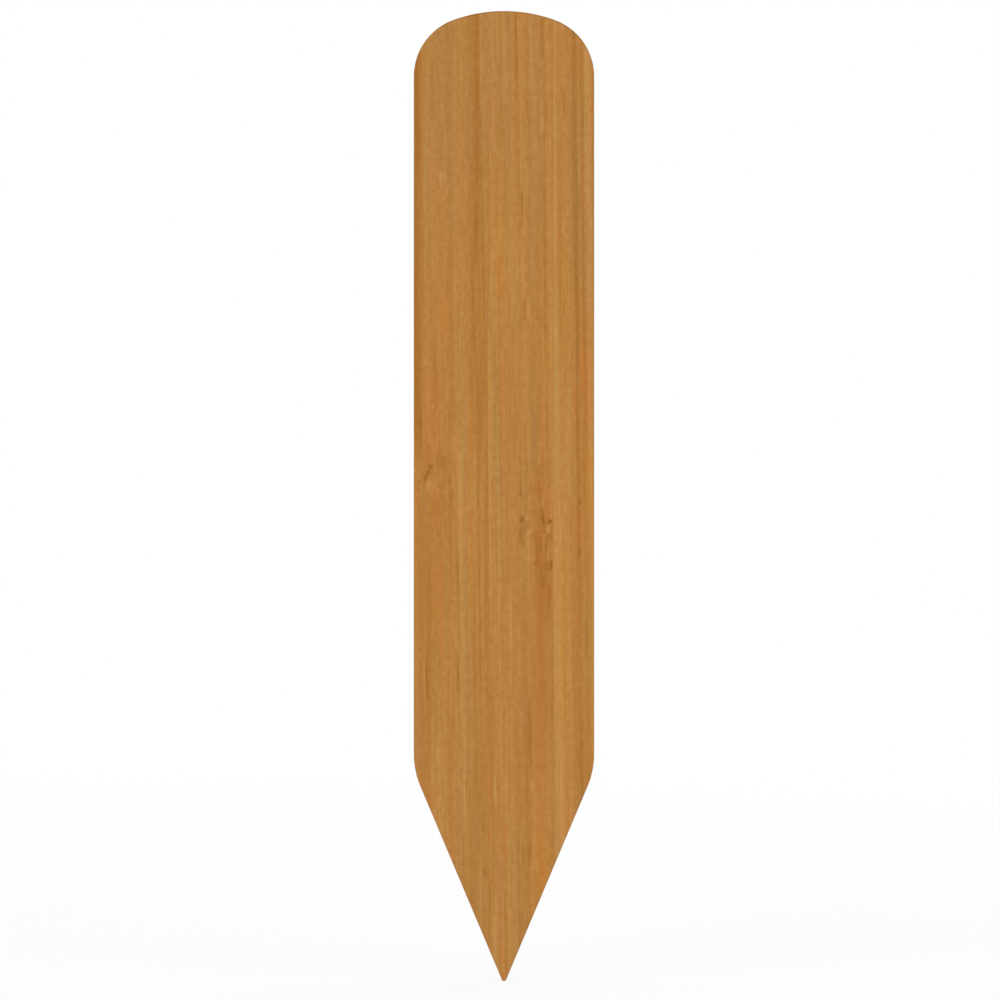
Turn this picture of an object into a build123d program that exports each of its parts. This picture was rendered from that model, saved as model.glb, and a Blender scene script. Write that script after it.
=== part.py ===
from build123d import *
import os
from math import cos, floor, radians, sin, tan

# Plant label stake cut from a laminated bamboo board.
#
# The board is a lay-up of planed bamboo strips, set on edge side by side and glued face to face.
# The blank is cut across several strips, so the strips at its two edges are part widths. Its head
# is rounded, its foot is cut to a point, and the rims of both faces are eased by sanding.
#
# Frame: the origin is the end of the point, X runs across the stake, Z up its length, and Y through
# its thickness, with the front face on the -Y side. Left is -X, as seen from the front. Sizes are in
# millimetres and degrees.

# Outline of the blank
length = 101.6  # end of the point to the crown of the head
width = 18.9  # between the parallel sides
thickness = 3.0  # front face to back face
head_rise = 6.85  # height of the rounded head above the straight sides
crown_half_angle = 20.0  # turn of the broad crown arc on each side of the middle
point_angle = 45.7  # between the two cut edges of the point
shoulder_radius = 8.8  # where a side turns into the point

# Sanding
edge_radius = 0.2  # easing along the rims of both faces
face_tip_radius = 0.05  # corner that the easing leaves on each flat face at the point
tip_radius = edge_radius + face_tip_radius

# Lay-up of the board
strip_width = 6.7  # one planed bamboo strip
glue_thickness = 0.1  # one cured glue line
edge_strip = 0.93  # part strip that the cut leaves along the left edge


def head_radii():
    """Radii of the crown arc and of the haunch arcs of the three-centred head."""
    turn = radians(crown_half_angle)
    half_width = width / 2
    difference = (half_width - head_rise) / (sin(turn) + cos(turn) - 1)
    haunch_radius = half_width - difference * sin(turn)
    crown_radius = haunch_radius + difference
    return crown_radius, haunch_radius


def outline():
    """Front outline of the stake: straight sides, a pointed foot and a head of three arcs."""
    half_width = width / 2
    half_angle = radians(point_angle / 2)
    apex = tip_radius * (1 - 1 / sin(half_angle))
    shoulder = apex + half_width / tan(half_angle)
    spring = length - head_rise
    crown_radius, haunch_radius = head_radii()
    haunch_centre = half_width - haunch_radius
    crown_centre = length - crown_radius
    haunch_turn = 90 - crown_half_angle
    crown_turn = 2 * crown_half_angle

    with BuildSketch(Plane.XZ) as sketch:
        with BuildLine():
            FilletPolyline(
                (-half_width, spring),
                (-half_width, shoulder),
                (0, apex),
                (half_width, shoulder),
                (half_width, spring),
                radius=[shoulder_radius, tip_radius, shoulder_radius],
            )
            CenterArc((haunch_centre, spring), haunch_radius, 0, haunch_turn)
            CenterArc((0, crown_centre), crown_radius, haunch_turn, crown_turn)
            CenterArc((-haunch_centre, spring), haunch_radius, haunch_turn + crown_turn, haunch_turn)
        make_face()
    return sketch.sketch


def blank():
    """The whole stake as it leaves the board, with the rims of both faces eased."""
    board = extrude(outline(), amount=thickness / 2, both=True)
    faces = board.faces().sort_by(Axis.Y)
    front, back = faces[0], faces[-1]
    return fillet(front.edges() + back.edges(), edge_radius)


def glue_lines():
    """Left sides of the glue lines across the stake, all clear of the eased right edge."""
    pitch = strip_width + glue_thickness
    room = width - edge_strip - glue_thickness - edge_radius
    count = 1 + floor(room / pitch)
    return [edge_strip - width / 2 + step * pitch for step in range(count)]


def between(left, right):
    """A block between two places across the stake that takes in its whole length and thickness."""
    block = Box(right - left, 2 * thickness, 2 * length)
    return Pos((left + right) / 2, 0, length / 2) * block


def lay_up():
    """Every strip and glue line by name, numbered from the left and cut from one blank."""
    stake = blank()
    pieces = {}
    strip_left = -width
    number = 1
    for glue_left in glue_lines():
        glue_right = glue_left + glue_thickness
        pieces[f"bamboo_strip_{number}"] = stake & between(strip_left, glue_left)
        pieces[f"glue_line_{number}"] = stake & between(glue_left, glue_right)
        strip_left = glue_right
        number += 1
    pieces[f"bamboo_strip_{number}"] = stake & between(strip_left, width)
    return pieces


def main():
    os.makedirs("parts", exist_ok=True)
    for name, piece in lay_up().items():
        export_step(piece, f"parts/{name}.step")


main()
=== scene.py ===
import random
from math import cos, pi, radians, sin, tan

import bpy
import numpy as np
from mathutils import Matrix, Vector, noise


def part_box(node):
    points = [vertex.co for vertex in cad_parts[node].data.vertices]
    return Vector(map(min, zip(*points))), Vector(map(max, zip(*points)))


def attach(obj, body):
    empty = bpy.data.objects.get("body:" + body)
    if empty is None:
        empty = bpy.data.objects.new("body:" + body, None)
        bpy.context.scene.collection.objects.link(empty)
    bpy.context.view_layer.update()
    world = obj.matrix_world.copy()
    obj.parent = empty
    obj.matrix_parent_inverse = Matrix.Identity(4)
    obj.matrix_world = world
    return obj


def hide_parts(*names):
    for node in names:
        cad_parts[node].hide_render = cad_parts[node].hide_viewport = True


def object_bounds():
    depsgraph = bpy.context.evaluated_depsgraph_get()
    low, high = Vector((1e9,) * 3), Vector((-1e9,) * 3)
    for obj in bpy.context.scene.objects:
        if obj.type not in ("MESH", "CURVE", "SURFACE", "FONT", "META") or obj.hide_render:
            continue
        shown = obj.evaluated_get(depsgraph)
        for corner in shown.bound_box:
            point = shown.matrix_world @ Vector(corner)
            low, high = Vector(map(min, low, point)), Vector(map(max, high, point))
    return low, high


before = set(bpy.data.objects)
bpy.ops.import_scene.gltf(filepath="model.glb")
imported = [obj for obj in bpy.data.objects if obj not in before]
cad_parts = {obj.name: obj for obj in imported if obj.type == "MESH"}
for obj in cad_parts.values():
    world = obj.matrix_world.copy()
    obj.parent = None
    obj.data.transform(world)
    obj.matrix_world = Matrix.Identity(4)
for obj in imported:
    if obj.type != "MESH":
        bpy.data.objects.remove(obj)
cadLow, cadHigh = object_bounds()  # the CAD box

mm = 0.001  # the scene is in metres, the sizes below are in millimetres
print("frame loaded:", ", ".join(sorted(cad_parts)))


# Shader maths
class Wire:
    # a socket that Python's operators join to Math nodes
    def __init__(self, socket):
        self.socket = socket
        self.tree = socket.id_data

    @classmethod
    def node(cls, tree, kind, settings=None, sockets=None, output=0):
        # any node: its settings first, then the values or links of its sockets
        made = tree.nodes.new(kind)
        for name, value in (settings or {}).items():
            if name == "stops":
                cls.setStops(made.color_ramp, value)
            else:
                setattr(made, name, value)
        for name, value in (sockets or {}).items():
            if isinstance(value, Wire):
                tree.links.new(value.socket, made.inputs[name])
            else:
                made.inputs[name].default_value = value
        return cls(made.outputs[output])

    @staticmethod
    def setStops(ramp, stops):
        while len(ramp.elements) < len(stops):
            ramp.elements.new(1.0)
        for element, (position, colour) in zip(ramp.elements, stops):
            element.position = position
            element.color = colour

    def math(self, operation, first, second=0.0):
        settings = {"operation": operation}
        return Wire.node(self.tree, "ShaderNodeMath", settings, {0: first, 1: second})

    def __add__(self, other):
        return self.math("ADD", self, other)

    __radd__ = __add__

    def __sub__(self, other):
        return self.math("SUBTRACT", self, other)

    def __rsub__(self, other):
        return self.math("SUBTRACT", other, self)

    def __mul__(self, other):
        return self.math("MULTIPLY", self, other)

    __rmul__ = __mul__

    def __truediv__(self, other):
        return self.math("DIVIDE", self, other)

    def __rtruediv__(self, other):
        return self.math("DIVIDE", other, self)

    def __pow__(self, other):
        return self.math("POWER", self, other)

    def __abs__(self):
        return self.math("ABSOLUTE", self)

    def atMost(self, other):
        return self.math("MINIMUM", self, other)

    def atLeast(self, other):
        return self.math("MAXIMUM", self, other)

    def rise(self, start, end):
        # 0 at start and 1 at end, eased at both
        settings = {"interpolation_type": "SMOOTHSTEP"}
        sockets = {"Value": self, "From Min": start, "From Max": end}
        return Wire.node(self.tree, "ShaderNodeMapRange", settings, sockets)


def shade(red, green, blue):
    # a screen colour of 0 to 255 as the linear colour that a socket takes
    def linear(part):
        part /= 255
        return part / 12.92 if part <= 0.04045 else ((part + 0.055) / 1.055) ** 2.4

    return (linear(red), linear(green), linear(blue), 1.0)


def newMaterial(name):
    material = bpy.data.materials.new(name)
    material.use_nodes = True
    material.node_tree.nodes.clear()
    return material, material.node_tree


def finishMaterial(tree, surface):
    output = tree.nodes.new("ShaderNodeOutputMaterial")
    tree.links.new(surface.socket, output.inputs["Surface"])


def joined(tree, x, y, z):
    return Wire.node(tree, "ShaderNodeCombineXYZ", None, {0: x, 1: y, 2: z})


def parted(tree, vector):
    first = Wire.node(tree, "ShaderNodeSeparateXYZ", None, {0: vector})
    return [Wire(part) for part in first.socket.node.outputs]


def place(tree):
    # where a point lies on the stake, in millimetres
    metres = Wire.node(tree, "ShaderNodeTexCoord", output="Object")
    sockets = {0: metres, "Scale": 1 / mm}
    return parted(tree, Wire.node(tree, "ShaderNodeVectorMath", {"operation": "SCALE"}, sockets))


def cloudy(tree, x, y, z, detail=2.0):
    # soft noise about 0, of size 1 in each direction
    at = joined(tree, x, y, z)
    sockets = {"Vector": at, "Scale": 1.0, "Detail": detail, "Roughness": 0.5}
    return Wire.node(tree, "ShaderNodeTexNoise", {"noise_dimensions": "3D"}, sockets) - 0.5


def blended(tree, factor, first, second, blend="MIX"):
    # a Mix node's colour sockets go by number, because it has others of the same names
    settings = {"data_type": "RGBA", "blend_type": blend}
    sockets = {0: factor, 6: first, 7: second}
    return Wire.node(tree, "ShaderNodeMix", settings, sockets, output=2)


def tinted(tree, colour, amount, low, high):
    # a colour times one of two tints, at amounts of -0.5 and 0.5, or one between them
    tint = blended(tree, amount + 0.5, low, high)
    return blended(tree, 1.0, colour, tint, "MULTIPLY")


# Outline of the stake, as the CAD part has it
stake = {
    "length": (cadHigh.z - cadLow.z) / mm,
    "halfWidth": (cadHigh.x - cadLow.x) / 2 / mm,
    "halfThick": (cadHigh.y - cadLow.y) / 2 / mm,
    "headRise": 6.85,  # rounded head above the straight sides
    "crownTurn": radians(20.0),  # half of the broad crown arc
    "pointTurn": radians(22.85),  # each cut edge of the point, from upright
    "shoulderRadius": 8.8,
    "tipRadius": 0.25,
    "easing": 0.2,  # sanded round along both rims
    "extraEasing": 0.05,  # where the sanding went deeper
    "extraSize": (3.0, 4.0),  # of such places, across and along
    "extraSeed": 7.3,
    "wallDip": 0.012,  # hollows that the saw left in the cut edges
    "wallDipSize": (2.5, 1.2),  # along an edge and through the thickness
    # how far a surface faces up or down where a cut end begins, and where it is full
    "cutEndTurn": (0.12, 0.75),
}


def workOutOutline():
    half = stake["halfWidth"]
    turn = stake["crownTurn"]
    point = stake["pointTurn"]
    spread = (half - stake["headRise"]) / (sin(turn) + cos(turn) - 1)
    stake["haunchRadius"] = half - spread * sin(turn)
    stake["crownRadius"] = stake["haunchRadius"] + spread
    stake["haunchAt"] = half - stake["haunchRadius"]
    stake["spring"] = stake["length"] - stake["headRise"]
    stake["crownAt"] = stake["length"] - stake["crownRadius"]
    stake["apex"] = stake["tipRadius"] * (1 - 1 / sin(point))
    stake["shoulderAt"] = half - stake["shoulderRadius"]
    rise = half / tan(point) + stake["shoulderRadius"] * tan(point / 2)
    stake["sideFoot"] = stake["apex"] + rise


def arcReach(radius, away):
    # how far an arc stands out, at a distance from its middle
    return np.sqrt(np.maximum(radius**2 - away**2, 0))


def headLine(x):
    away = np.abs(x)
    crown = stake["crownAt"] + arcReach(stake["crownRadius"], away)
    haunch = stake["spring"] + arcReach(stake["haunchRadius"], away - stake["haunchAt"])
    return np.where(away < stake["crownRadius"] * sin(stake["crownTurn"]), crown, haunch)


def footLine(x):
    away = np.abs(x)
    point = stake["pointTurn"]
    tip = stake["tipRadius"] - arcReach(stake["tipRadius"], away)
    cut = stake["apex"] + away / tan(point)
    shoulder = stake["sideFoot"] - arcReach(stake["shoulderRadius"], away - stake["shoulderAt"])
    onTip = away < stake["tipRadius"] * cos(point)
    onShoulder = away > stake["shoulderAt"] + stake["shoulderRadius"] * cos(point)
    return np.where(onTip, tip, np.where(onShoulder, shoulder, cut))


def inset(x, z):
    # how far inside the outline a point lies
    away = np.abs(x)
    point = stake["pointTurn"]
    rise = z - stake["apex"]
    depth = np.minimum(stake["halfWidth"] - away, rise * sin(point) - away * cos(point))

    past, drop = away - stake["shoulderAt"], stake["sideFoot"] - z
    onShoulder = (drop > 0) & (past * sin(point) > drop * cos(point))
    depth = np.where(onShoulder, stake["shoulderRadius"] - np.hypot(past, drop), depth)

    drop = stake["tipRadius"] - z
    onTip = drop * cos(point) > away * sin(point)
    depth = np.where(onTip, stake["tipRadius"] - np.hypot(away, drop), depth)

    up = z - stake["crownAt"]
    onCrown = away < up * tan(stake["crownTurn"])
    crown = np.minimum(depth, stake["crownRadius"] - np.hypot(away, up))

    past, up = away - stake["haunchAt"], z - stake["spring"]
    onHaunch = (past > 0) & (up > 0)
    haunch = np.where(onHaunch, stake["haunchRadius"] - np.hypot(past, up), depth)
    return np.where(onCrown, crown, haunch)


def outward(x, z):
    # the outline's own direction at a point, across and up
    step, least = 0.002, 1e-9
    across = inset(x - step, z) - inset(x + step, z)
    up = inset(x, z - step) - inset(x, z + step)
    size = np.maximum(np.hypot(across, up), least)
    return across / size, up / size


def perlin(x, y, z):
    places = np.stack(np.broadcast_arrays(x, y, z), axis=-1)
    values = [noise.noise(at) for at in places.reshape(-1, 3).tolist()]
    return np.array(values).reshape(places.shape[:-1])


def easingAt(x, z):
    # the sanded rim's radius, a little larger in places
    across, along = stake["extraSize"]
    share = np.clip(perlin(x / across, stake["extraSeed"], z / along), 0, 1)
    return stake["easing"] + stake["extraEasing"] * share


def rounded(depth, radius):
    # how far the rounded rim falls below the face
    return radius - arcReach(radius, np.clip(radius - depth, 0, radius))


def wallDips(x, y, z):
    # shallow hollows in the cut edges, nothing at their rims
    along, through = stake["wallDipSize"]
    fade = np.clip(1 - (y / (stake["halfThick"] - stake["easing"])) ** 2, 0, 1)
    share = np.clip(perlin(x / along, y / through, z / along) + 0.5, 0, 1)
    return stake["wallDip"] * fade * share


workOutOutline()
print("outline worked out")

# Grids of the pieces
grid = {
    "easingSteps": 6,  # rows of faces across an eased rim
    "wallSteps": 9,  # and across an edge
    "columnStep": 0.1,
    "rowStep": 0.5,
    "nodeRowStep": 0.2,  # closer rows where the culm's nodes left marks
    "nodeZone": (42.0, 56.0),
    "plainZone": (26.0, 93.0),  # heights between the foot and the head
    "rimReach": 1.2,  # longest stretch up a column that the rim's rows take
    "sharpAngle": radians(40.0),
    # the bake map, of 0 to 1: faces and edges above, the two cut ends side by side below
    "mapCutEdge": 0.1,  # share across for a cut edge
    "mapJoint": 0.02,  # and for a hidden joint face
    "mapHeights": (0.08, 0.998),
    "mapEndHeights": (0.005, 0.07),
    "mapFootEnd": (0.01, 0.49),
    "mapHeadEnd": (0.51, 0.99),
}


def sides(name):
    low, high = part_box(name)
    return low.x / mm, high.x / mm


def cutSides(left, right):
    # whether each side of a piece is the stake's own edge, and no joint
    near = stake["easing"] / 2
    return left < near - stake["halfWidth"], right > stake["halfWidth"] - near


def rimDepths():
    # how far inside the outline the rim's rows lie, closest together at the outline
    steps = grid["easingSteps"]
    return [stake["easing"] * (1 - cos(pi / 2 * k / steps)) for k in range(steps + 1)]


def columnsBetween(left, right):
    leftCut, rightCut = cutSides(left, right)
    half = stake["halfWidth"]
    rim = rimDepths()[:-1]
    start = -half + stake["easing"] if leftCut else left
    stop = half - stake["easing"] if rightCut else right
    count = max(2, round((stop - start) / grid["columnStep"]) + 1)
    before = [-half + depth for depth in rim] if leftCut else []
    after = [half - depth for depth in reversed(rim)] if rightCut else []
    return np.array([*before, *np.linspace(start, stop, count), *after])


def rimRows(x, edge, inward):
    # heights of the rim's rows, from the outline inwards
    step = 0.001
    if len(x) > 2:
        slope = np.gradient(edge(x), x)
    else:
        slope = (edge(x + step) - edge(x - step)) / (2 * step)
    lift = np.sqrt(1 + slope**2)  # stretch up a column for each millimetre inwards
    rows = []
    for k, depth in enumerate(rimDepths()):
        most = grid["rimReach"] * k / grid["easingSteps"]
        rows.append(edge(x) + inward * np.minimum(depth * lift, most))
    return rows


def heightRows(x):
    low, high = grid["plainZone"]
    nodeLow, nodeHigh = grid["nodeZone"]
    foot = rimRows(x, footLine, 1)
    head = rimRows(x, headLine, -1)
    footSteps = max(2, round((low - foot[-1].min()) / grid["rowStep"]))
    headSteps = max(2, round((head[-1].max() - high) / grid["rowStep"]))
    rows = list(foot)
    for k in range(1, footSteps):
        rows.append(foot[-1] + (low - foot[-1]) * k / footSteps)
    for start, stop, step in (
        (low, nodeLow, grid["rowStep"]),
        (nodeLow, nodeHigh, grid["nodeRowStep"]),
        (nodeHigh, high, grid["rowStep"]),
    ):
        for height in np.linspace(start, stop, round((stop - start) / step), endpoint=False):
            rows.append(np.full(len(x), height))
    for k in range(headSteps):
        rows.append(high + (head[-1] - high) * k / headSteps)
    rows += reversed(head)
    return np.array(rows)


def faceGrid(x, z, surface, side):
    # points of the front, side -1, or the back, side 1, and the darkness of their marks
    wide = np.broadcast_to(x, z.shape)
    depth = np.maximum(inset(wide, z), 0)
    fade = np.clip(depth / (2 * stake["easing"]), 0, 1)  # plain along the rim
    relief, dark = surface(wide, z, side)
    below = rounded(depth, easingAt(wide, z)) + fade * relief
    return np.stack([wide, side * (stake["halfThick"] - below), z], axis=-1), fade * dark


def wallGrid(front, back, isCut):
    # points between the two faces, along a column or a row
    made = []
    for step in range(1, grid["wallSteps"]):
        at = front + (back - front) * step / grid["wallSteps"]
        if isCut:
            x, y, z = at.T
            across, up = outward(x, z)
            dip = wallDips(x, y, z)
            at = at - np.stack([across * dip, 0 * dip, up * dip], axis=-1)
        made.append(at)
    return np.stack(made, axis=1)


def cells(corners):
    # the four corners of each cell of a grid, in order round it
    low, high = corners[:-1], corners[1:]
    return np.stack([low[:, :-1], low[:, 1:], high[:, 1:], high[:, :-1]], axis=2)


def between(ends, share):
    return ends[0] + (ends[1] - ends[0]) * share


def mapAround(x, leftCut, rightCut):
    # places across the bake map, once round a piece: front, right, back, left
    leftShare = grid["mapCutEdge"] if leftCut else grid["mapJoint"]
    rightShare = grid["mapCutEdge"] if rightCut else grid["mapJoint"]
    faceShare = (1 - leftShare - rightShare) / 2
    spans = (x - x[0]) / (x[-1] - x[0]) * faceShare
    steps = np.arange(1, grid["wallSteps"]) / grid["wallSteps"]
    backEnd = 2 * faceShare + rightShare
    rightSteps, leftSteps = faceShare + rightShare * steps, backEnd + leftShare * steps
    return np.concatenate([spans, rightSteps, backEnd - spans[::-1], leftSteps, [1.0]])


def buildPiece(name, left, right, surface):
    # surface gives the depth below the plain face and the darkness of the marks
    leftCut, rightCut = cutSides(left, right)
    x = columnsBetween(left, right)
    z = heightRows(x)
    front, frontDark = faceGrid(x, z, surface, -1)
    back, backDark = faceGrid(x, z, surface, 1)
    leftWall = wallGrid(front[:, 0], back[:, 0], leftCut)
    rightWall = wallGrid(front[:, -1], back[:, -1], rightCut)

    # one closed loop round the piece for each row: front, right, back, left
    loops = np.concatenate([front, rightWall, back[:, ::-1], leftWall[:, ::-1]], axis=1)
    plain = np.zeros(leftWall.shape[:2])
    points = loops.reshape(-1, 3)
    dark = np.concatenate([frontDark, plain, backDark[:, ::-1], plain], axis=1).ravel()
    numbers = np.arange(len(points)).reshape(loops.shape[:2])
    faces = [cells(np.concatenate([numbers, numbers[:, :1]], axis=1)).reshape(-1, 4)]
    mapUp = between(grid["mapHeights"], loops[:, :, 2] / stake["length"])
    mapUp = np.concatenate([mapUp, mapUp[:, :1]], axis=1)
    mapAcross = np.broadcast_to(mapAround(x, leftCut, rightCut), mapUp.shape)
    corners = [cells(np.stack([mapAcross, mapUp], axis=-1)).reshape(-1, 2)]

    # the two cut ends, as grids inside the first and the last loop
    columns, walls = len(x), grid["wallSteps"] - 1
    for end, mapEnd in ((0, grid["mapFootEnd"]), (-1, grid["mapHeadEnd"])):
        inner = wallGrid(front[end], back[end], True)[1:-1].swapaxes(0, 1)
        loop = numbers[end]
        cap = np.zeros((walls + 2, columns), int)
        cap[0] = loop[:columns]
        cap[-1] = loop[columns + walls : 2 * columns + walls][::-1]
        cap[1:-1, -1] = loop[columns : columns + walls]
        cap[1:-1, 0] = loop[2 * columns + walls :][::-1]
        cap[1:-1, 1:-1] = len(points) + np.arange(inner[:, :, 0].size).reshape(inner.shape[:2])
        points = np.concatenate([points, inner.reshape(-1, 3)])
        dark = np.concatenate([dark, np.zeros(inner[:, :, 0].size)])
        reach = np.cumsum(np.hypot(np.diff(x), np.diff(z[end])))
        mapX = between(mapEnd, np.concatenate([[0], reach / reach[-1]]))
        mapY = between(grid["mapEndHeights"], np.arange(walls + 2) / (walls + 1))
        capMap = np.stack(np.meshgrid(mapX, mapY), axis=-1)
        turn = 1 if end else -1  # the foot's faces look down
        faces.append(cells(cap[::turn]).reshape(-1, 4))
        corners.append(cells(capMap[::turn]).reshape(-1, 2))

    mesh = bpy.data.meshes.new(name + "_mesh")
    mesh.from_pydata((points * mm).tolist(), [], np.concatenate(faces).tolist())
    bakeMap = mesh.uv_layers.new(name="OFBake")
    bakeMap.uv.foreach_set("vector", np.concatenate(corners).astype(np.float32).ravel())
    marks = mesh.attributes.new("dents", "FLOAT", "POINT")
    marks.data.foreach_set("value", dark.astype(np.float32))
    mesh.shade_smooth()
    mesh.set_sharp_from_angle(angle=grid["sharpAngle"])
    piece = bpy.data.objects.new(name + "_look", mesh)
    bpy.context.scene.collection.objects.link(piece)
    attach(piece, "root")
    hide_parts(name)
    print("built", name, len(points), "points")
    return piece


# Cut ends, on the strips and the glue lines alike
def cutEnds(tree):
    # 1 on the cuts across the fibres at the head and the point, 0 along them
    normal = Wire.node(tree, "ShaderNodeNewGeometry", output="Normal")
    return abs(parted(tree, normal)[2]).rise(*stake["cutEndTurn"])


# Bamboo strips
bamboo = {
    "dark": shade(157, 97, 26),
    "mean": shade(180, 123, 55),
    "light": shade(202, 149, 82),
    "toneGain": 0.33,  # share of the scale from dark to light for each unit of tone
    "scar": shade(142, 82, 0),  # in the dents that the nodes left
    "paleSpot": shade(212, 160, 96),  # torn fibre ends beside them
    "stain": shade(168, 104, 36),  # redder wood round a node
    "stainLeast": 0.75,  # share of a stain where no fibre stands out
    # tints at the two ends of the slow changes of hue
    "coolTint": (0.87, 0.99, 1.24, 1.0),
    "warmTint": (1.11, 0.99, 0.76, 1.0),
    "oliveTint": (0.97, 1.07, 0.9, 1.0),
    "rosyTint": (1.01, 0.92, 1.1, 1.0),
    "headWarmth": -0.13,  # the wood is a little cooler towards the head
    "headFade": (66.0, 92.0),
    # how the fibres run
    "lean": 0.0121,  # they go this far left for each millimetre up
    "leanHeight": 50.0,  # where the bands' places are given
    "bandFade": 3.0,  # half the height in which a band begins or ends
    # bends of the fibres: size across, size along, reach
    "wander": (5.0, 30.0, 0.3),
    "waver": (1.3, 7.0, 0.1),
    "swirl": (1.1, 2.2, 0.8),  # beside the nodes
    "mottle": (0.45, 0.7, 1.8),  # tone beside the nodes, in the same way
    # layers of tone and hue: size across, size along, strength, shift, detail
    "broad": (2.4, 95.0, 0.8, 3.7, 2.0),
    "streaks": (0.65, 55.0, 1.05, 1.3, 2.0),
    "fibres": (0.23, 14.0, 1.1, 8.1, 3.0),
    "threads": (0.18, 3.2, 0.85, 2.2, 2.0),
    "hairs": (0.05, 4.5, 1.2, 7.4, 1.0),
    "flecks": (0.45, 0.7, 1.4, 5.9, 2.0),
    "warmth": (0.8, 30.0, 1.3, 6.4, 3.0),
    "rosiness": (0.6, 20.0, 1.15, 9.7, 3.0),
    "patches": (1.6, 14.0, 1.0, 4.6, 2.0),  # where fibres stand out
    "patchFade": (-0.12, 0.12),
    "patchLeast": 0.25,  # what is left of the fibres elsewhere
    "patchGain": 0.9,
    # fibre bundles
    "bundle": 0.62,  # from one to the next
    "bundleReach": 7.0,  # from the culm's skin to where they are farthest apart
    "bundleLoose": 0.9,  # how close they are there
    "bundleGain": 0.8,  # and how much closer at the skin
    "bundleRim": (0.42, 0.2),  # where one begins and where it is full, from its middle
    "bundleOnEnd": 0.9,  # how dark the bundles are on a cut end
    "bundleOnFace": 0.12,
    # surface
    "endGrain": shade(134, 82, 32),
    "endGrainShare": 0.35,
    "roughness": 0.56,
    "fibreRoughness": 0.12,
    "dentRoughness": 0.2,
    "endRoughness": 0.35,
    "gloss": 0.2,
    "bumpStrength": 0.35,
    "bumpHeight": 0.02,
    "fleckHeight": 2.0,
    # ripples in the face: size across, size along, depth, seed
    "ripple": (0.42, 22.0, 0.006, 1),
    "fineRipple": (0.2, 5.0, 0.003, 20),
    # scars and short dashes
    "scarDepth": 0.06,
    "dashHalfWidth": 0.13,
    "wobble": (0.05, 0.15),  # how far their rims stray, across and along
    "wobbleSize": (0.3, 0.5),
    "wobbleSeed": 5,
    "backDrop": 1.7,  # the back's marks lie lower
    "backShare": 0.8,  # and are paler
    # vessels that the plane opened
    "vesselsPerMm": 8.0,  # across the strip
    "vesselDepth": 0.05,
    "vesselLowest": 2.0,
    "vesselHalfWidth": (0.05, 0.09),
    "vesselHalfLength": (0.8, 4.5),
    "vesselDarkness": (0.03, 0.13),
}


def fibrePlace(x, z):
    # where the fibre through a point lies at leanHeight, for numbers or wires
    return x + bamboo["lean"] * (z - bamboo["leanHeight"])


def ripples(size, fibre, z, strip, side):
    # waves along the fibres, from the face down to their full depth
    across, along, depth, seed = size
    return depth * (0.5 + 0.5 * perlin(fibre / across, strip["seed"] + seed * side, z / along))


def wobbled(x, z, side):
    # places that stray a little, so that the marks' rims aren't smooth
    across, along = bamboo["wobbleSize"]
    straySide, strayUp = bamboo["wobble"]
    strayX = straySide * perlin(x / across, side, z / along)
    strayZ = strayUp * perlin(x / across, side + bamboo["wobbleSeed"], z / along)
    return x + strayX, z + strayZ


def marked(x, z, marks):
    # the darkest and the palest mark at each point
    dark, pale = np.zeros_like(z), np.zeros_like(z)
    for atX, atZ, halfWide, halfLong, lean, darkness in marks:
        across = (x - atX - lean * (z - atZ)) / halfWide
        along = (z - atZ) / halfLong
        made = darkness * np.exp(-(across**2) - along**4)
        dark, pale = np.maximum(dark, made), np.minimum(pale, made)
    return dark + pale


def openVessels(strip, left, right, side):
    # fine grooves at places drawn from the strip's own seed
    draw = random.Random(strip["seed"] * 10 + side)
    marks = []
    for _ in range(round(bamboo["vesselsPerMm"] * (right - left))):
        towards = max(draw.random(), draw.random())  # more of them near the skin side
        share = towards if strip["skin"] > 0 else 1 - towards
        atX = left + share * (right - left)
        atZ = draw.uniform(bamboo["vesselLowest"], stake["length"])
        halfWide = draw.uniform(*bamboo["vesselHalfWidth"])
        halfLong = draw.uniform(*bamboo["vesselHalfLength"])
        darkness = draw.uniform(*bamboo["vesselDarkness"])
        marks.append((atX, atZ, halfWide, halfLong, -bamboo["lean"], darkness))
    return marks


def nodeMarks(strip):
    # the scars, and the short dashes as scars along the fibres
    wide, lean = bamboo["dashHalfWidth"], -bamboo["lean"]
    dashes = [(x, z, wide, halfLong, lean, dark) for x, z, halfLong, dark in strip["dashes"]]
    return strip["scars"] + dashes


def onBack(mark, left, right):
    # the same nodes reach the back, with their marks elsewhere on it
    x, z, halfWide, halfLong, lean, darkness = mark
    atX, atZ = left + right - x, z - bamboo["backDrop"]
    return atX, atZ, halfWide, halfLong, -lean, darkness * bamboo["backShare"]


def makeStrip(name, strip):
    left, right = sides(name)
    front = nodeMarks(strip)
    scars = {-1: front, 1: [onBack(mark, left, right) for mark in front]}
    vessels = {side: openVessels(strip, left, right, side) for side in (-1, 1)}

    def surface(x, z, side):
        fibre = fibrePlace(x, z)
        scar = marked(*wobbled(x, z, side), scars[side])
        vessel = marked(x, z, vessels[side])
        relief = ripples(bamboo["ripple"], fibre, z, strip, side)
        relief = relief + ripples(bamboo["fineRipple"], fibre, z, strip, side)
        relief = relief + bamboo["vesselDepth"] * vessel
        relief = relief + bamboo["scarDepth"] * np.maximum(scar, 0)
        return relief, np.where(scar < 0, vessel + scar, np.maximum(vessel, scar))

    piece = buildPiece(name, left, right, surface)
    piece.data.materials.append(bambooFinish(name, strip, left, right))


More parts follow.
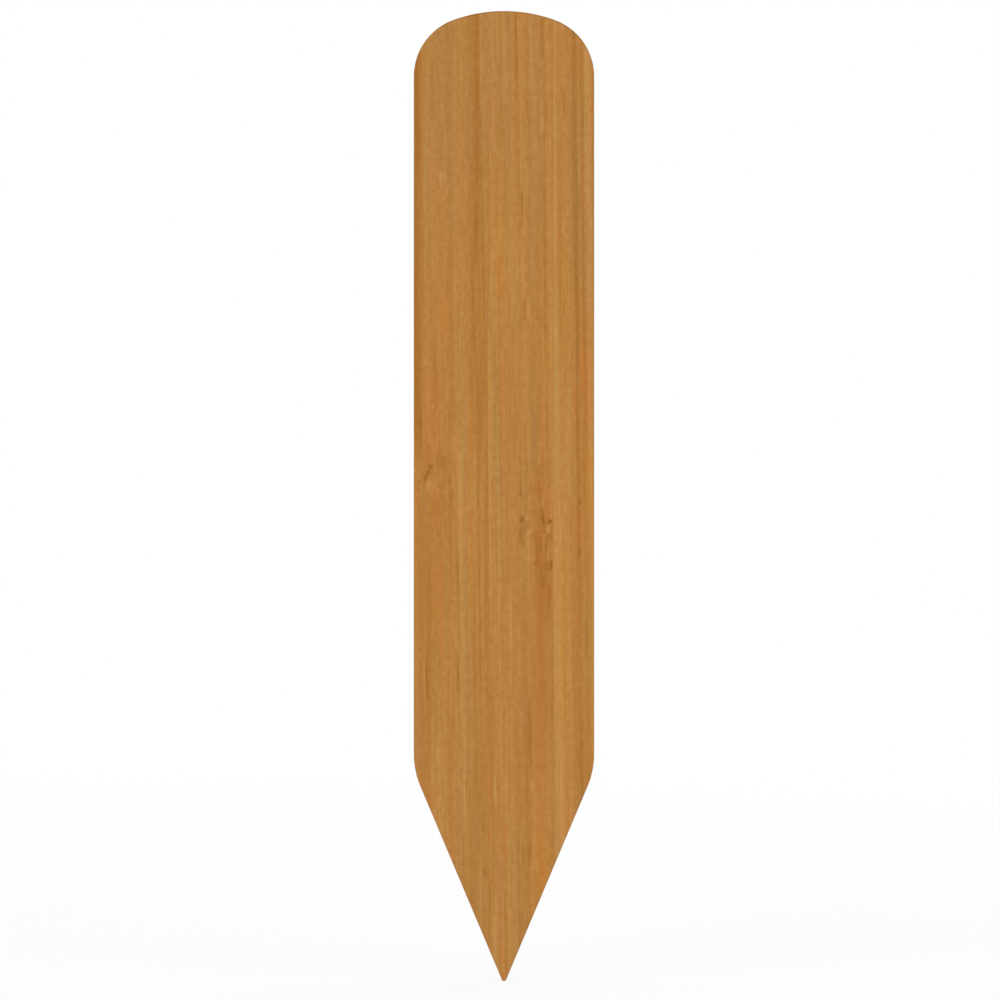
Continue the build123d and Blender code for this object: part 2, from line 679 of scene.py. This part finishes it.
def bambooFinish(name, strip, left, right):
    material, tree = newMaterial(name + "_finish")
    x, y, z = place(tree)
    seed = strip["seed"]

    def bend(size):
        across, along, reach = size
        return cloudy(tree, x / across, y / across + seed, z / along) * reach

    def besideNode(size):
        across, along, strength = size
        return cloudy(tree, x / across, y / across, z / along + seed) * strength

    def oval(atX, atZ, halfWide, halfHigh):
        # 1 in the middle of an upright oval, 0 at its rim
        return (((x - atX) / halfWide) ** 2 + ((z - atZ) / halfHigh) ** 2).rise(1.0, 0.0)

    # fibres lean and wander, more so beside the nodes
    sway = bend(bamboo["wander"]) + bend(bamboo["waver"])
    mottle = 0.0
    for node in strip["nodes"]:
        near = oval(*node)
        sway = sway + near * besideNode(bamboo["swirl"])
        mottle = near * besideNode(bamboo["mottle"]) + mottle
    fibre = fibrePlace(x, z) + sway

    def layer(size):
        across, along, strength, shift, detail = size
        return cloudy(tree, fibre / across + shift, y / across + seed, z / along, detail) * strength

    patches = layer(bamboo["patches"]).rise(*bamboo["patchFade"])
    patches = patches * bamboo["patchGain"] + bamboo["patchLeast"]
    fine = layer(bamboo["fibres"]) * patches + layer(bamboo["hairs"])
    flecks = layer(bamboo["flecks"]) + layer(bamboo["threads"]) * patches
    tone = layer(bamboo["broad"]) + layer(bamboo["streaks"]) + fine + flecks
    tone = tone + strip["tone"] + mottle
    warmth = layer(bamboo["warmth"]) + z.rise(*bamboo["headFade"]) * bamboo["headWarmth"]
    rosiness = layer(bamboo["rosiness"])

    def band(at, halfWide, strength, low, high):
        # a lighter, darker, redder or greener stretch along the fibres
        fade = bamboo["bandFade"]
        made = abs(fibre - at).rise(halfWide, 0) * strength
        if low is not None:
            made = made * z.rise(low - fade, low + fade)
        if high is not None:
            made = made * z.rise(high + fade, high - fade)
        return made

    for stretch in strip["bands"]:
        tone = tone + band(*stretch)
    for stretch in strip["hues"]:
        warmth = warmth + band(*stretch)

    # fibre bundles, smaller and closer towards the culm's skin
    skinAt = right if strip["skin"] > 0 else left
    skin = abs(fibre - skinAt).rise(bamboo["bundleReach"], 0)
    close = skin * bamboo["bundleGain"] + bamboo["bundleLoose"]
    bundlePlace = joined(
        tree, fibre * close / bamboo["bundle"] + seed, y * close / bamboo["bundle"], 0.0
    )
    settings = {"voronoi_dimensions": "2D", "feature": "F1"}
    sockets = {"Vector": bundlePlace, "Scale": 1.0}
    bundles = Wire.node(tree, "ShaderNodeTexVoronoi", settings, sockets).rise(*bamboo["bundleRim"])

    # cut ends show the bundles as dots and are darker than the faces
    cutEnd = cutEnds(tree)
    tone = tone - bundles * (cutEnd * bamboo["bundleOnEnd"] + bamboo["bundleOnFace"])

    stops = [(0.0, bamboo["dark"]), (0.5, bamboo["mean"]), (1.0, bamboo["light"])]
    scale = tone * bamboo["toneGain"] + 0.5
    colour = Wire.node(tree, "ShaderNodeValToRGB", {"stops": stops}, {0: scale})
    colour = tinted(tree, colour, warmth, bamboo["coolTint"], bamboo["warmTint"])
    colour = tinted(tree, colour, rosiness, bamboo["oliveTint"], bamboo["rosyTint"])
    for *spot, strength in strip["stains"]:
        share = oval(*spot) * strength * (fine + bamboo["stainLeast"])
        colour = blended(tree, share, colour, bamboo["stain"])
    dents = Wire.node(tree, "ShaderNodeAttribute", {"attribute_name": "dents"}, output="Fac")
    colour = blended(tree, dents.atMost(1.0).atLeast(0.0), colour, bamboo["scar"])
    colour = blended(tree, (0 - dents).atLeast(0.0), colour, bamboo["paleSpot"])
    colour = blended(tree, cutEnd * bamboo["endGrainShare"], colour, bamboo["endGrain"])

    roughness = fine * bamboo["fibreRoughness"] + bamboo["roughness"]
    roughness = roughness + dents * bamboo["dentRoughness"] + cutEnd * bamboo["endRoughness"]
    sockets = {
        "Strength": bamboo["bumpStrength"],
        "Distance": bamboo["bumpHeight"] * mm,
        "Height": fine + flecks * bamboo["fleckHeight"],
    }
    bump = Wire.node(tree, "ShaderNodeBump", None, sockets)
    sockets = {
        "Base Color": colour,
        "Roughness": roughness,
        "Normal": bump,
        "Specular IOR Level": bamboo["gloss"],
    }
    finishMaterial(tree, Wire.node(tree, "ShaderNodeBsdfPrincipled", None, sockets))
    return material


# skin: the side that faced the outside of the culm, 1 right and -1 left
# bands: place across, half width, tone, from height, to height
# hues: the same, with redder wood above 0 and greener below
# nodes: place across, height, half width and half height of the disturbed grain
# scars: place across, height, half width, half length, lean, darkness
# dashes: place across, height, half length, darkness; pale ones are below 0
# stains: place across, height, half width, half height, strength
stripOne = {
    "skin": 1,
    "seed": 2.3,
    "tone": -0.1,
    "bands": [
        (-9.0, 1.1, -0.95, 56.0, None),
        (-8.6, 0.4, -0.5, 86.0, None),
        (-9.2, 0.3, 0.3, None, 44.0),
    ],
    "hues": [(-9.0, 0.6, 0.15, 62.0, 76.0)],
    "nodes": [(-8.5, 50.0, 3.0, 8.0)],
    "scars": [],
    "dashes": [(-8.75, 58.0, 1.6, 0.3)],
    "stains": [(-8.9, 44.0, 1.6, 9.0, 0.3)],
}
makeStrip("bamboo_strip_1", stripOne)

stripTwo = {
    "skin": 1,
    "seed": 4.1,
    "tone": 0.05,
    "bands": [
        (-7.9, 0.5, -0.4, 25.0, 44.0),
        (-7.0, 0.35, -0.45, 90.0, 98.0),
        (-8.35, 0.25, -0.3, 28.0, 42.0),
        (-7.2, 1.0, 0.5, None, 26.0),
        (-7.05, 0.35, -0.4, 59.0, 66.0),
        (-6.6, 0.5, 0.25, 12.0, 36.0),
        (-5.6, 0.35, -0.35, 40.0, 60.0),
        (-5.3, 0.5, -0.4, 58.0, None),
        (-4.5, 0.5, 0.55, 16.0, 56.0),
        (-3.1, 0.35, 0.3, 44.0, 56.0),
        (-2.95, 0.3, -0.5, 65.0, 77.0),
        (-2.95, 0.75, -0.45, 56.0, None),
        (-3.3, 0.2, -0.35, 20.0, 40.0),
        (-3.05, 0.5, 0.65, None, 13.0),
        (-2.68, 0.18, -0.5, 30.0, 56.0),
        (-2.3, 0.4, -0.6, 54.0, None),
        (-2.25, 0.5, -0.4, 84.0, None),
        (-2.35, 0.25, 0.25, 24.0, 44.0),
        (-2.5, 0.35, -0.35, 12.0, 24.0),
        (-2.1, 0.3, -0.4, 59.0, 66.0),
        (-1.88, 0.26, -0.65, 40.0, 92.0),
    ],
    "hues": [(-4.6, 1.0, -0.1, None, None), (-7.6, 1.6, 0.25, 36.0, 62.0)],
    "nodes": [(-7.2, 51.0, 3.2, 7.0)],
    "scars": [
        (-7.72, 53.87, 0.24, 0.26, 0.0, 0.85),
        (-8.08, 53.0, 0.26, 0.55, 0.467, 0.7),
        (-6.35, 54.4, 0.45, 0.8, 0.0, 0.28),
        (-7.95, 55.2, 0.3, 0.9, 0.0, 0.2),
        (-7.93, 51.9, 0.2, 0.4, 0.0, -0.37),
        (-7.28, 51.9, 0.13, 0.4, 0.0, -0.3),
        (-5.62, 52.4, 0.22, 0.4, 0.0, 0.28),
        (-5.5, 51.0, 0.3, 0.6, 0.0, 0.24),
        (-1.99, 11.4, 0.25, 0.5, 0.0, 0.37),
    ],
    "dashes": [
        (-2.95, 78.0, 3.0, 0.45),
        (-4.82, 42.2, 3.0, 0.45),
        (-4.82, 32.0, 2.0, 0.55),
        (-8.1, 31.8, 2.2, 0.5),
        (-8.33, 31.4, 2.0, -0.3),
        (-3.04, 31.7, 0.7, 0.35),
        (-6.65, 84.1, 0.7, -0.4),
        (-8.2, 64.8, 0.3, -0.35),
    ],
    "stains": [(-7.0, 46.0, 2.8, 12.0, 0.25)],
}
makeStrip("bamboo_strip_2", stripTwo)

stripThree = {
    "skin": -1,
    "seed": 6.7,
    "tone": 0.1,
    "bands": [
        (-1.5, 0.6, 0.7, None, 7.0),
        (-1.5, 0.3, 0.6, 40.0, None),
        (-1.25, 0.14, -0.35, 40.0, None),
        (-1.1, 0.5, 0.3, 52.0, 68.0),
        (-0.6, 0.16, 0.35, None, 60.0),
        (0.0, 0.4, 0.3, None, 24.0),
        (0.7, 0.5, 0.4, 92.0, None),
        (0.8, 1.0, 0.2, None, 42.0),
        (1.1, 0.4, 0.35, 42.0, 52.0),
        (1.1, 0.7, 0.35, 68.0, 78.0),
        (1.8, 0.5, -0.4, 86.0, 94.0),
        (1.2, 0.5, -0.35, None, 26.0),
        (1.9, 0.24, -1.1, 94.5, None),
        (2.2, 0.6, -0.35, None, 26.0),
        (2.5, 0.5, 0.4, None, None),
        (3.4, 0.5, 0.3, 58.0, None),
        (3.4, 2.0, -0.3, 46.0, None),
        (3.9, 1.4, -0.15, None, 46.0),
        (4.4, 0.4, 0.5, 88.0, 97.0),
        (4.6, 0.35, -0.45, 50.0, None),
        (5.2, 0.4, 0.2, 60.0, None),
    ],
    "hues": [
        (3.6, 1.8, 0.22, None, 54.0),
        (1.9, 0.4, 0.3, 90.0, None),
        (-0.4, 0.5, 0.2, 71.0, 80.0),
    ],
    "nodes": [(3.4, 47.0, 3.0, 9.0)],
    "scars": [
        (1.88, 48.4, 0.28, 0.42, 0.0, 0.72),
        (2.45, 48.5, 0.2, 0.3, 0.0, -0.37),
        (1.77, 46.8, 0.2, 0.9, 0.0, 0.55),
        (1.73, 51.5, 0.14, 0.9, 0.0, 0.36),
        (1.57, 54.6, 0.16, 0.4, 0.0, 0.26),
        (3.8, 52.8, 0.6, 1.2, 0.0, 0.17),
        (4.06, 48.55, 0.18, 1.05, -0.16, 0.7),
        (4.12, 50.1, 0.12, 0.45, 0.0, -0.3),
        (4.83, 46.45, 0.16, 0.4, -0.9, 0.62),
        (4.05, 47.1, 0.7, 0.22, 0.0, 0.3),
        (4.62, 47.3, 0.16, 0.4, 0.0, -0.45),
        (4.82, 48.15, 0.27, 0.22, 0.0, 0.98),
        (4.93, 43.55, 0.14, 0.55, 0.1, 0.8),
        (4.55, 44.6, 0.16, 0.6, 0.0, -0.37),
        (3.46, 44.9, 0.17, 1.5, -0.02, 0.36),
        (3.85, 45.6, 0.17, 1.0, -0.02, 0.45),
        (4.12, 45.6, 0.1, 0.8, 0.0, -0.25),
        (3.9, 42.6, 0.17, 1.2, -0.02, 0.3),
        (4.42, 45.4, 0.15, 1.0, -0.02, 0.42),
        (4.4, 43.3, 0.15, 0.9, -0.02, 0.45),
        (4.18, 41.7, 0.18, 0.7, -0.02, 0.45),
        (4.7, 40.2, 0.16, 1.6, -0.02, 0.34),
        (3.35, 43.8, 0.4, 0.3, 0.0, 0.37),
        (2.72, 26.0, 0.2, 3.6, -0.0121, 0.42),
    ],
    "dashes": [
        (1.89, 81.7, 1.1, 0.55),
        (1.86, 79.9, 0.9, 0.45),
        (2.2, 70.4, 1.5, 0.45),
        (2.57, 70.2, 1.2, -0.3),
        (4.45, 90.8, 1.2, 0.3),
        (3.98, 89.8, 1.0, -0.35),
        (4.15, 54.0, 2.2, 0.25),
        (5.04, 28.5, 1.9, 0.3),
        (-0.9, 20.2, 1.7, -0.5),
        (-0.72, 20.2, 1.7, 0.3),
        (2.83, 22.9, 0.6, 0.45),
        (2.9, 20.5, 0.4, -0.4),
        (2.72, 13.7, 1.1, 0.4),
        (2.04, 13.1, 1.0, 0.35),
        (-1.5, 8.8, 1.4, 0.35),
    ],
    "stains": [(4.2, 44.0, 1.7, 9.0, 0.6), (3.8, 33.0, 2.2, 14.0, 0.4)],
}
makeStrip("bamboo_strip_3", stripThree)

stripFour = {
    "skin": 1,
    "seed": 9.2,
    "tone": 0.05,
    "bands": [
        (5.4, 0.75, 0.5, None, None),
        (5.9, 0.7, 0.55, None, 66.0),
        (5.75, 0.5, 0.5, 66.0, None),
        (5.0, 0.4, 0.4, None, 15.0),
        (6.6, 0.8, 0.3, None, 62.0),
        (7.88, 0.5, -0.95, 66.0, None),
        (7.82, 0.45, -0.6, None, 66.0),
        (7.9, 0.5, 0.4, None, 44.0),
        (7.85, 0.45, -0.3, None, 26.0),
        (8.7, 0.3, -0.55, 58.0, None),
        (9.25, 0.5, 0.6, None, None),
    ],
    "hues": [(8.5, 0.5, 0.3, 60.0, 68.0), (8.9, 0.5, 0.25, 79.0, 86.0)],
    "nodes": [],
    "scars": [],
    "dashes": [
        (7.96, 50.2, 0.5, 0.6),
        (7.86, 44.9, 0.45, 0.6),
        (8.27, 90.2, 1.6, 0.3),
        (6.28, 92.0, 1.5, 0.45),
        (8.6, 36.0, 1.5, 0.35),
    ],
    "stains": [],
}
makeStrip("bamboo_strip_4", stripFour)

# Glue lines
glue = {
    "colour": shade(172, 115, 50),
    "pale": shade(182, 125, 60),
    "patch": (2.0, 0.8, 6.0),  # size of the paler patches across, through and along
    "patchDetail": 3.0,
    "patchFade": (-0.15, 0.2),
    "cutEnd": shade(128, 78, 30),
    "cutEndShare": 0.8,
    "recess": 0.006,  # the sanding leaves the glue a little below the wood
    "recessChange": 0.5,  # share of that which comes and goes
    "recessLength": 3.0,  # along the line
    "roughness": 0.5,
    "patchRoughness": 0.3,
    "endRoughness": 0.3,
    "gloss": 0.2,
    "seeds": {"glue_line_1": 12.0, "glue_line_2": 13.0, "glue_line_3": 14.0},
}


def glueFinish(name, seed):
    material, tree = newMaterial(name + "_finish")
    x, y, z = place(tree)
    across, through, along = glue["patch"]
    patches = cloudy(tree, x / across, y / through + seed, z / along, glue["patchDetail"])
    cutEnd = cutEnds(tree)
    colour = blended(tree, patches.rise(*glue["patchFade"]), glue["colour"], glue["pale"])
    colour = blended(tree, cutEnd * glue["cutEndShare"], colour, glue["cutEnd"])
    roughness = patches * glue["patchRoughness"] + glue["roughness"]
    roughness = roughness + cutEnd * glue["endRoughness"]
    sockets = {"Base Color": colour, "Roughness": roughness, "Specular IOR Level": glue["gloss"]}
    finishMaterial(tree, Wire.node(tree, "ShaderNodeBsdfPrincipled", None, sockets))
    return material


def makeGlue(name, seed):
    def surface(x, z, side):
        change = perlin(0 * x, seed + side, z / glue["recessLength"])
        return glue["recess"] * (1 + glue["recessChange"] * change), np.zeros_like(z)

    left, right = sides(name)
    piece = buildPiece(name, left, right, surface)
    piece.data.materials.append(glueFinish(name, seed))


for glueName, glueSeed in glue["seeds"].items():
    makeGlue(glueName, glueSeed)

# Camera
photo = {
    "pixelSize": 0.10473,  # of the stake's front rim, in a picture 1000 pixels wide
    "pixels": 1000,
    "tipAt": (504.0, 981.1),  # centreline and end of the point in the picture
    "lens": 200.0,  # long, as for a flat view of the front
}


def makeCamera():
    camera = bpy.data.cameras.new("photo_camera")
    camera.lens = photo["lens"]
    wide = photo["pixelSize"] * photo["pixels"]
    distance = wide * camera.lens / camera.sensor_width
    frontRim = stake["halfThick"] - stake["easing"]
    middle = photo["pixels"] / 2
    x = (middle - photo["tipAt"][0]) * photo["pixelSize"]
    z = (photo["tipAt"][1] - middle) * photo["pixelSize"]
    holder = bpy.data.objects.new("photo_camera", camera)
    holder.location = Vector((x, -(frontRim + distance), z)) * mm
    holder.rotation_euler = (pi / 2, 0, 0)
    bpy.context.scene.collection.objects.link(holder)
    bpy.context.scene.camera = holder


makeCamera()
print("camera placed")

# Light and floor
studio = {
    "world": 0.6,  # even light from all round
    "floorSize": 6000.0,
    "floorColour": (0.93, 0.93, 0.93, 1.0),
    "white": (1.0, 1.0, 1.0, 1.0),
    "whiteShare": 0.86,  # of the floor's look by the stake; the rest keeps the shadow
    "whiteReach": (150.0, 500.0),  # the floor goes all white between these distances
    "lampSize": 500.0,
    "aim": (0.0, 0.0, 50.0),
    # where each lamp stands, and its power
    "lamps": {
        "key": ((-450.0, -650.0, 500.0), 2.4),
        "fill": ((520.0, -560.0, 260.0), 1.0),
        "back": ((320.0, 620.0, 480.0), 2.2),
    },
}


def seenDirectly(tree):
    # 1 for what the camera sees, also in a reflection or through glass
    rays = ("Is Camera Ray", "Is Glossy Ray", "Is Transmission Ray")
    camera, glossy, through = [Wire.node(tree, "ShaderNodeLightPath", output=ray) for ray in rays]
    return camera.atLeast(glossy).atLeast(through)


def makeFloor():
    half = studio["floorSize"] / 2 * mm
    mesh = bpy.data.meshes.new("floor_mesh")
    corners = [(-half, -half, 0), (half, -half, 0), (half, half, 0), (-half, half, 0)]
    mesh.from_pydata(corners, [], [(0, 1, 2, 3)])
    floor = bpy.data.objects.new("floor", mesh)
    bpy.context.scene.collection.objects.link(floor)
    material, tree = newMaterial("pale_floor")
    plain = Wire.node(tree, "ShaderNodeBsdfDiffuse", None, {"Color": studio["floorColour"]})
    sockets = {"Color": studio["white"], "Strength": 1.0}
    white = Wire.node(tree, "ShaderNodeEmission", None, sockets)
    x, y, _ = place(tree)
    away = ((x * x + y * y) ** 0.5).rise(*studio["whiteReach"])
    share = seenDirectly(tree) * (away * (1 - studio["whiteShare"]) + studio["whiteShare"])
    sockets = {0: share, 1: plain, 2: white}
    finishMaterial(tree, Wire.node(tree, "ShaderNodeMixShader", None, sockets))
    mesh.materials.append(material)


def makeWorld():
    world = bpy.data.worlds.new("studio")
    world.use_nodes = True
    tree = world.node_tree
    tree.nodes.clear()
    strength = seenDirectly(tree) * (1 - studio["world"]) + studio["world"]
    sockets = {"Color": studio["white"], "Strength": strength}
    light = Wire.node(tree, "ShaderNodeBackground", None, sockets)
    output = tree.nodes.new("ShaderNodeOutputWorld")
    tree.links.new(light.socket, output.inputs["Surface"])
    bpy.context.scene.world = world


def makeLamp(name, at, power):
    lamp = bpy.data.lights.new(name, "AREA")
    lamp.energy = power
    lamp.size = studio["lampSize"] * mm
    holder = bpy.data.objects.new(name, lamp)
    holder.location = Vector(at) * mm
    towards = Vector(studio["aim"]) - Vector(at)
    holder.rotation_euler = towards.to_track_quat("-Z", "Y").to_euler()
    bpy.context.scene.collection.objects.link(holder)


makeFloor()
makeWorld()
for lampName, (lampAt, lampPower) in studio["lamps"].items():
    makeLamp(lampName, lampAt, lampPower)
bpy.context.scene.view_settings.view_transform = "Standard"
print("light and floor made")
